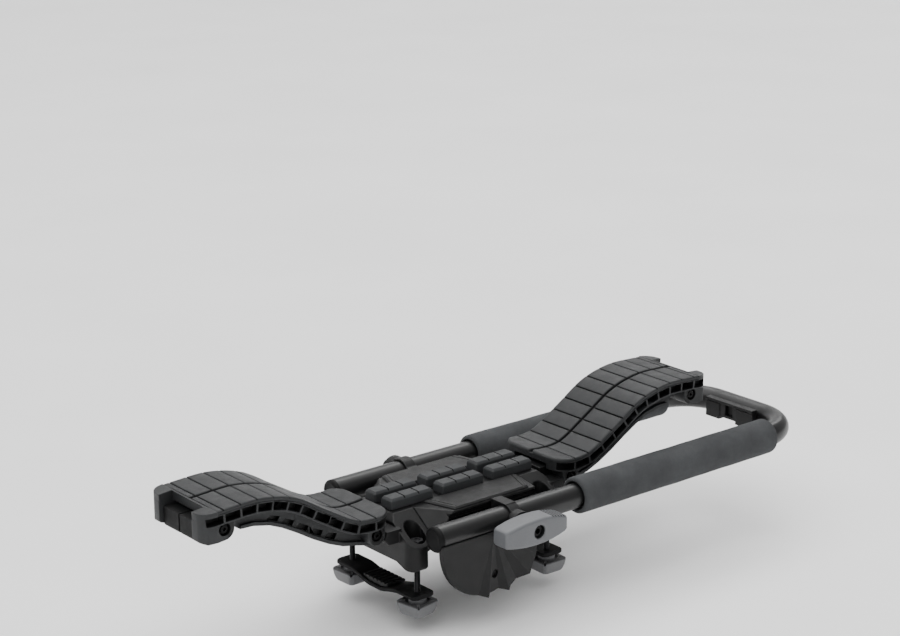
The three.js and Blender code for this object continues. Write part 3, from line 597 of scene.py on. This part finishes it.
def add_sleeve(name, side):
    """Foam tube with rolled ends, a slightly uneven skin and a ring of painted shade round the tube at each
    end.
    """
    low, high = span(f"{name}_foam_sleeve")
    y = ARM_Y + side * LEG_Y
    roll = 3.2
    profile = [(TUBE_R + 0.5, low.x + 2.5), (TUBE_R + 1.1, low.x + 0.5), (TUBE_R + 2.2, low.x)]
    quarter = np.linspace(0, math.pi / 2, 7)
    profile += [(FOAM_R - roll + roll * math.sin(t), low.x + roll - roll * math.cos(t)) for t in quarter]
    profile += [(FOAM_R, x) for x in np.linspace(low.x + 8, high.x - 8, 60)]
    profile += [(FOAM_R - roll + roll * math.cos(t), high.x - roll + roll * math.sin(t)) for t in quarter]
    profile += [(TUBE_R + 2.2, high.x), (TUBE_R + 1.1, high.x - 0.5), (TUBE_R + 0.5, high.x - 2.5)]
    rings = []
    for r, x in profile:
        ring = []
        for a in np.linspace(0, 2 * math.pi, 57)[:-1]:
            dent = 0.16 * math.sin(x * 0.043 + 2 * a + side) * math.sin(x * 0.11 + a) - 0.18
            q = r + dent * min(1.0, max(0.0, (r - TUBE_R - 1.5) / 2))
            ring.append((x, y + q * math.cos(a), AXIS_Z + q * math.sin(a)))
        rings.append(ring)
    skin = loft(rings, closed=True)
    # Painted shade on the ends' inner faces next to the tube.
    paint_shade_and_tint(skin, lambda p, n: math.hypot(p.y - y, p.z - AXIS_Z) < TUBE_R + 1.9, 0.9)
    made = piece(f"{name}_foam_grip", skin, f"{name}_foam_sleeve", "foam", smooth=70, weighted=False)


# ---------- pivot and handle ----------
def add_pivot():
    low, high = span("pivot_cross_rod")
    centre = ((low.x + high.x) / 2, (low.z + high.z) / 2)
    rod_piece = rod("y", centre, 5.0, low.y, high.y, 0.8)
    piece("pivot_rod_turned", rod_piece, "pivot_cross_rod", "dark_steel")
    for name, _ in ENDS:
        node = f"{name}_slide_block"
        piece(f"{name}_slide_block_moulding", from_node(node), node, "black_trim", edge=0.5)
    low, high = span("rear_pivot_nut")
    nut = turned("y", centre, [(8.5, low.y), (8.5, high.y)], 6)
    crown = turned("y", centre, [(9.2, low.y - 1), (9.2, high.y - 1.3), (7.3, high.y), (7.3, high.y + 2)], 32)
    bore = rod("y", centre, 5.3, low.y - 5, high.y + 5)
    nut = cut(combined(nut, "INTERSECT", crown), bore)
    piece("rear_pivot_nut_hex", nut, "rear_pivot_nut", "dark_steel", edge=0.2)
    washer = from_node("handle_thrust_washer")
    piece("handle_washer_moulding", washer, "handle_thrust_washer", "black_trim", edge=0.3)
    # Painted shade over all of the screw, deep in the handle's hole.
    screw = paint_shade_and_tint(from_node("handle_socket_screw"), everywhere, 0.8)
    piece("handle_screw_socket", screw, "handle_socket_screw", "dark_steel", edge=0.25)
    add_handle(centre)


def add_handle(centre):
    """Blunt-ended bar, thick in the middle, with soft long edges, grip ridges and a deep screw hole, and
    painted shade in the ridge slots and the hole.
    """
    low, high = span("t_handle")
    stations = [(-41, 6.8, 3.9, 3.0), (-40.4, 7.9, 2.4, 3.4), (-38.5, 9, 1.1, 3.6), (-34, 9.9, 0.6, 3.5),
                (-26, 11.4, 0.2, 3.4), (-17, 12.5, 0, 3.3), (-8, 13.1, 0, 3.2), (0, 13.2, 0, 3.2),
                (9, 12.9, 0, 3.2), (17, 12, 0, 3.2), (26, 10.2, 0.1, 3.2), (33, 8.6, 0.5, 3.2),
                (35.8, 7.3, 1.5, 3.0), (37, 6.1, 3.2, 2.4)]
    rings = []
    for x, half, inset, r in stations:
        ring = rounded_ring((high.y - low.y) / 2 - inset, half, r, 6)
        rings.append([(centre[0] + x, (low.y + high.y) / 2 + a, centre[1] + b) for a, b in ring])
    body = loft(rings)
    ridges = [centre[0] + x for x in (17.0, 20.5, 24.0, 27.5, 31.0)]
    tools = []
    for x in ridges:
        top = centre[1] + 12.0 - (x - centre[0] - 17) * 0.23
        tools.append(box((x, x + 1.6), (low.y - 1, high.y - 2.6), (top - 1.5, 60)))
    tools.append(rod("y", centre, 5.1, low.y - 1, high.y + 1))
    tools.append(turned("y", centre, [(6.7, low.y + 8.5), (6.7, low.y + 1.0), (7.7, low.y - 0.4)], 40))
    body = cut(body, *tools)

    def in_ridge(p, n):
        return p.z > centre[1] + 6 and n.y > -0.7 and any(x - 0.1 < p.x < x + 1.7 for x in ridges)

    def in_hole(p, n):
        return math.hypot(p.x - centre[0], p.z - centre[1]) < 6.9 and low.y + 0.8 < p.y < high.y - 0.5

    # Painted shade in the slots between the grip ridges and on the walls of the screw hole.
    paint_shade_and_tint(body, in_ridge, 0.7)
    paint_shade_and_tint(body, in_hole)
    piece("t_handle_moulding", body, "t_handle", "handle_plastic", edge=0.25, over=46, smooth=34)


# ---------- saddle wings ----------
CROWN = [(104, 56.2), (124, 54.2), (148, 57), (182, 76),
         (217, 96.5), (253, 105.4), (288, 105.2), (317.5, 103)]
WING_W, TREAD_T, TREAD_END = 45.0, 3.5, 302.0
ROOT_X, ROOT_R, TIP_X, TIP_R = 105.5, 18.0, 317.5, 14.0
BLOCK_ENDS = [22.5 + 18.1 * k for k in range(11)]


def catmull(points, t):
    """Point at t of a spline that has its knots at the whole numbers."""
    k = min(int(t), len(points) - 2)
    w = t - k
    p = [np.array(points[min(max(j, 0), len(points) - 1)], float) for j in range(k - 1, k + 3)]
    v0, v1 = (p[2] - p[0]) / 2, (p[3] - p[1]) / 2
    cubic = 2 * p[1] - 2 * p[2] + v0 + v1
    square = -3 * p[1] + 3 * p[2] - 2 * v0 - v1
    return cubic * w ** 3 + square * w ** 2 + v0 * w + p[1]


PIN, END_PIN = (123.5, 34.5), (293.5, 85.0)
CROWN_LINE = np.array([catmull(CROWN, t) for t in np.linspace(0, len(CROWN) - 1, 561)])
CROWN_RUN = np.concatenate([[0], np.cumsum(np.linalg.norm(np.diff(CROWN_LINE, axis=0), axis=1))])


def crown_at(x):
    return float(np.interp(x, CROWN_LINE[:, 0], CROWN_RUN))


def under(s, depth):
    """Point at a distance s along the crown and a depth below it."""
    at = np.array([np.interp(s, CROWN_RUN, CROWN_LINE[:, i]) for i in (0, 1)])
    ahead = np.array([np.interp(s + 0.8, CROWN_RUN, CROWN_LINE[:, i]) for i in (0, 1)])
    behind = np.array([np.interp(s - 0.8, CROWN_RUN, CROWN_LINE[:, i]) for i in (0, 1)])
    d = (ahead - behind) / np.linalg.norm(ahead - behind)
    return at[0] + d[1] * depth, at[1] - d[0] * depth


def rounding(distance, r):
    """How far a surface has dropped at a distance inside an edge that is rounded to r."""
    inside = max(0.0, r - max(0.0, distance))
    return r - math.sqrt(max(0.0, r * r - inside * inside))


def root_at(y):
    """Place along the crown where the rounded hinge end starts, at a distance y from the middle."""
    beyond = max(0.0, abs(y) - (WING_W - ROOT_R))
    return crown_at(ROOT_X + ROOT_R - math.sqrt(max(0.0, ROOT_R ** 2 - beyond ** 2)))


def add_tread(name, side):
    """Two rows of soft-edged rubber blocks with thin grooves and a deep channel down the middle, with painted
    shade in the grooves and the channel.
    """
    end = crown_at(TREAD_END - 0.15)
    half, channel, gap, soft, nose = WING_W - 0.5, 1.7, 0.7, 0.9, 2.8
    near = [0, 0.12, 0.45, soft]
    ss = [0, 0.15, 0.7, 1.6, nose, 11]
    for at in BLOCK_ENDS:
        ss += [at - gap - o for o in reversed(near)]
        ss += [at - gap + 0.08, at, at + gap - 0.08]
        ss += [at + gap + o for o in near] + [at + 9]
    ss = [v for v in ss if v < end - soft] + [end - soft, end - 0.35, end]
    edge = [0, channel, channel + 0.12, channel + 0.4, channel + 0.9, channel + 1.6, channel + 4.5,
            14, 22, 27, 31, 35, 38.5, 41, half - 2.0, half - 1.2, half - 0.6, half - 0.2, half]
    ys = sorted({-e for e in edge} | set(edge))

    def point(s, y, bottom):
        toe = 3.5 - min(3.5, max(0.0, abs(y) - channel))
        first = root_at(y) + 3.5 - math.sqrt(3.5 ** 2 - toe ** 2)
        from_nose = s
        if s < BLOCK_ENDS[0] - gap:
            s = first + s * (BLOCK_ENDS[0] - gap - first) / (BLOCK_ENDS[0] - gap)
        across = min(abs(s - at) for at in BLOCK_ENDS)
        drop = max(rounding(from_nose, nose), rounding(end - s, soft), rounding(across - gap, soft))
        outer = rounding(half - abs(y), 2.0)
        inner = rounding(abs(y) - channel, 1.6)
        depth = min(2.9, math.hypot(drop, max(outer, inner)))
        # Faces in the cross grooves and the middle channel carry painted shade.
        tread_shade = 0.0
        if across < gap - 0.01 and half - abs(y) > 0.5:
            depth, tread_shade = max(depth, 2.1), 1.0
        if abs(y) < channel + 0.01:
            depth, tread_shade = 2.9, 1.0
        x, z = under(s, TREAD_T if bottom else depth + 0.1)
        return (x, y, z), 0.0 if bottom else tread_shade

    ny = len(ys)
    points = [point(s, y, low) for low in (False, True) for s in ss for y in ys]
    count = len(ss) * ny
    faces = []
    for i in range(len(ss) - 1):
        for j in range(ny - 1):
            a = i * ny + j
            faces.append((a, a + ny, a + ny + 1, a + 1))
            faces.append(tuple(count + k for k in (a, a + 1, a + ny + 1, a + ny)))
    rim = [i * ny for i in range(len(ss))] + [count - ny + j for j in range(1, ny)]
    rim += [i * ny + ny - 1 for i in range(len(ss) - 2, -1, -1)] + [j for j in range(ny - 2, 0, -1)]
    faces += [(a, b, count + b, count + a) for a, b in zip(rim, rim[1:] + rim[:1])]
    bm = solid([p for p, _ in points], faces)
    shade_and_tint = bm.loops.layers.float.new("painted_shade_and_tint")
    for face in bm.faces:
        for loop in face.loops:
            loop[shade_and_tint] = points[loop.vert.index][1]
    node = f"{name}_wing_tread"
    made = piece(f"{node}_rubber", mirrored(bm, side), node, "soft_rubber", smooth=38, weighted=False)


def inside_plan(x, y):
    """How far a point lies inside a wing's outline, seen from above."""
    root, tip = ROOT_X + ROOT_R, TIP_X - TIP_R
    for corner_x, r, beyond in ((root, ROOT_R, root - x), (tip, TIP_R, x - tip)):
        if beyond > 0 and y > WING_W - r:
            return r - math.hypot(x - corner_x, y - WING_W + r)
    return min(WING_W - y, x - ROOT_X, TIP_X - x)


def wing_painted_shade(p, normal):
    """Whether a face of a wing's frame lies inside a window, a pin hole or a pocket of its web, where shade
    is painted.
    """
    x, y = abs(p.x), abs(p.y)
    before, here, after = np.interp([x - 1, x, x + 1], CROWN_LINE[:, 0], CROWN_LINE[:, 1])
    depth = (here - p.z) / math.hypot(1, (after - before) / 2)
    window = 4.8 < depth < 12.6 and y > 35.5 and inside_plan(x, y) > 0.5
    hole = any(math.hypot(x - a, p.z - b) < 6.1 for a, b in (PIN, END_PIN)) and 37 < y < WING_W - 0.4
    pocket = 23.8 < y < 27.8 and 155 < x < 245 and depth > 15
    return window or hole or pocket


def add_wings():
    for name, side in SIDES:
        node = f"{name}_wing_frame"
        shell = sliced(from_node(node), [side * x for x in range(109, 317, 7)])
        # Painted shade in the frame's windows, pin holes and web pockets.
        paint_shade_and_tint(shell, wing_painted_shade)
        piece(f"{node}_moulding", shell, node, "wing_plastic", edge=0.6, over=34, within=True)
        add_tread(name, side)
        for place in ("front", "rear"):
            node = f"{name}_wing_{place}_block"
            piece(f"{node}_moulding", from_node(node), node, "black_trim", edge=0.8)


# ---------- crossbar clamps ----------
def add_straps():
    for name, side in SIDES:
        low, high = span(f"{name}_clamp_strap")
        x, top = (low.x + high.x) / 2, high.z
        hy = (high.y - low.y) / 2
        centre = [(0, -6), (10, -6), (16, -4.7), (22, -3), (29, -1.2), (36, 0), (44, 0), (hy, 0)]
        ys = sorted({s * y for y, _ in centre for s in (-1, 1)})
        drop = dict(centre)

        def ring(y):
            t = min(1.0, (hy - abs(y)) / 5)
            half = 13.5 - 5 * (1 - math.sqrt(max(0.0, 1 - (1 - t) ** 2)))
            z = top + drop[abs(y)]
            lip = 0.9
            shape = [(half, z - 4 + lip), (half, z - lip), (half - lip, z), (-half + lip, z),
                     (-half, z - lip), (-half, z - 4 + lip), (-half + lip, z - 4), (half - lip, z - 4)]
            return [(x + a, y, b) for a, b in shape]

        for y in (hy - 1.2, hy - 2.6, hy - 4.2):
            drop[y] = 0
            ys += [y, -y]
        band = loft([ring(y) for y in sorted(ys)])
        holes = [rod("z", (x, y), 3.4, top - 20, top + 20, sides=32) for y in (-51, 51)]
        piece(f"{name}_strap_band", cut(band, *holes), f"{name}_clamp_strap", "black_trim", smooth=32)
        # The whole liner is darkened all over to about a third of its colour, near black.
        liner = paint_shade_and_tint(from_node(f"{name}_strap_liner"), everywhere, 0.8)
        made = piece(f"{name}_strap_liner_rubber", liner, f"{name}_strap_liner", "soft_rubber", edge=0.25)


KNOB_TURNS = {"left_front": 0.18, "left_rear": 0.06, "right_front": -0.02, "right_rear": 0.12}


def add_knobs():
    for name, turn in KNOB_TURNS.items():
        node = f"{name}_clamp_knob"
        stud_low, stud_high = span(f"{name}_clamp_stud")
        x, y = (stud_low.x + stud_high.x) / 2, (stud_low.y + stud_high.y) / 2
        low, high = span(node)
        face = high.z - 2.6
        c, s = math.cos(turn), math.sin(turn)

        def at(a, b, z):
            return x + a * c - b * s, y + a * s + b * c, z

        def ring(inset, z, r, dip=0.0):
            made = []
            for a, b in rounded_ring(15.3 - inset, 15.3 - inset, r, 6):
                made.append(at(a, b, z - dip * max(0.0, 1 - abs(abs(a) - abs(b)) / 9)))
            return made

        rings = [ring(6.5, low.z, 3.2), ring(4.6, low.z + 0.35, 4.0), ring(3.2, low.z + 1.3, 4.4),
                 ring(2.0, low.z + 3.4, 4.6), ring(0.9, low.z + 7.0, 4.6), ring(0.1, face - 2.2, 4.6),
                 ring(0.0, face - 1.2, 4.6), ring(0.4, face - 0.35, 4.5), ring(1.2, face, 4.2)]
        body = loft(rings)
        well = turned("z", (x, y), [(11.0, face - 1.6), (12.2, face + 1)], 48)
        boss = [(8.8, face - 3), (8.8, face + 1.6), (8.3, face + 2.3), (7.4, face + 2.6)]
        hub = turned("z", (x, y), boss, 48)
        bore = rod("z", (x, y), 3.4, low.z - 2, high.z + 2, sides=32)
        slots = []
        for q in range(4):
            a = math.pi / 4 + q * math.pi / 2
            u, v = math.cos(a), math.sin(a)
            bar = ((12.5, -1.1), (22, -1.1), (22, 1.1), (12.5, 1.1))
            shape = [(u * d - v * w, v * d + u * w) for d, w in bar]
            slots.append(prism([at(p, q2, 0)[:2] for p, q2 in shape], "z", face - 2.6, face + 3))
        solid_knob = cut(join(cut(body, well, *slots), hub), bore)
        # Painted shade on the knob's upward faces at its top, where the strap shades them.
        paint_shade_and_tint(solid_knob, lambda p, n: face - 3 < p.z < face + 0.1 and n.z > 0.3, 0.75)
        piece(f"{name}_knob_moulding", solid_knob, node, "knob_plastic", edge=0.25, over=46, smooth=36)
        washer = f"{name}_clamp_washer"
        piece(f"{washer}_turned", from_node(washer), washer, "knob_plastic", edge=0.3)


# ---------- camera, floor and light ----------
def add_studio():
    camera = bpy.data.objects.new("camera", bpy.data.cameras.new("camera"))
    bpy.context.scene.collection.objects.link(camera)
    camera.data.sensor_width = 36
    camera.data.lens = 85.65
    camera.data.clip_start, camera.data.clip_end = 0.05, 40
    eye = Vector((-1.26297, -1.52069, 0.79792))
    aim = Vector((0.00205, 0.0025, 0.2133))
    camera.location = eye
    camera.rotation_mode = "QUATERNION"
    camera.rotation_quaternion = (aim - eye).to_track_quat("-Z", "Y")
    bpy.context.scene.camera = camera

    material, tree, shader = node_tree("pale_floor")
    coords = tree.nodes.new("ShaderNodeTexCoord").outputs["Object"]
    tone = ramp(tree, noise(tree, coords, 3, 3.0), (0.3, 0.9), (0.7, 0.94))
    tree.links.new(tone, shader.inputs["Base Color"])
    shader.inputs["Roughness"].default_value = 0.8
    size, back, bend = 14.0, 6.0, 2.0
    bm = bmesh.new()
    rows = [(-size, 0.0), (back, 0.0)]
    angles = np.linspace(0.1, math.pi / 2, 12)
    rows += [(back + bend * math.sin(t), bend - bend * math.cos(t)) for t in angles]
    rows += [(back + bend, 9.0)]
    grid = [[bm.verts.new((x, y, z)) for x in (-size, size)] for y, z in rows]
    for a, b in zip(grid, grid[1:]):
        bm.faces.new((a[0], a[1], b[1], b[0])).smooth = True
    data = bpy.data.meshes.new("floor")
    bm.to_mesh(data)
    bm.free()
    data.materials.append(material)
    floor = bpy.data.objects.new("floor", data)
    bpy.context.scene.collection.objects.link(floor)
    floor.location.z = FLOOR_Z

    world = bpy.data.worlds.new("studio")
    bpy.context.scene.world = world
    world.use_nodes = True
    world.node_tree.nodes["Background"].inputs["Color"].default_value = (1.0, 1.0, 1.0, 1)
    world.node_tree.nodes["Background"].inputs["Strength"].default_value = 0.5
    lights = (("overhead_softbox", (-0.15, 0.1, 1.0), 90, 3.8),
              ("back_softbox", (0.6, 0.75, 0.6), 50, 2.4),
              ("side_softbox", (-0.8, -1.0, 0.5), 60, 0.25))
    for name, place, angle, strength in lights:
        light = bpy.data.objects.new(name, bpy.data.lights.new(name, "SUN"))
        light.data.energy = strength
        light.data.angle = math.radians(angle)
        light.rotation_mode = "QUATERNION"
        light.rotation_quaternion = Vector(place).to_track_quat("Z", "Y")
        light.location = place
        bpy.context.scene.collection.objects.link(light)


FLOOR_Z = -0.070

add_studio()
add_base()
add_ends()
add_pads()
add_arm()
add_pivot()
add_wings()
add_straps()
add_knobs()
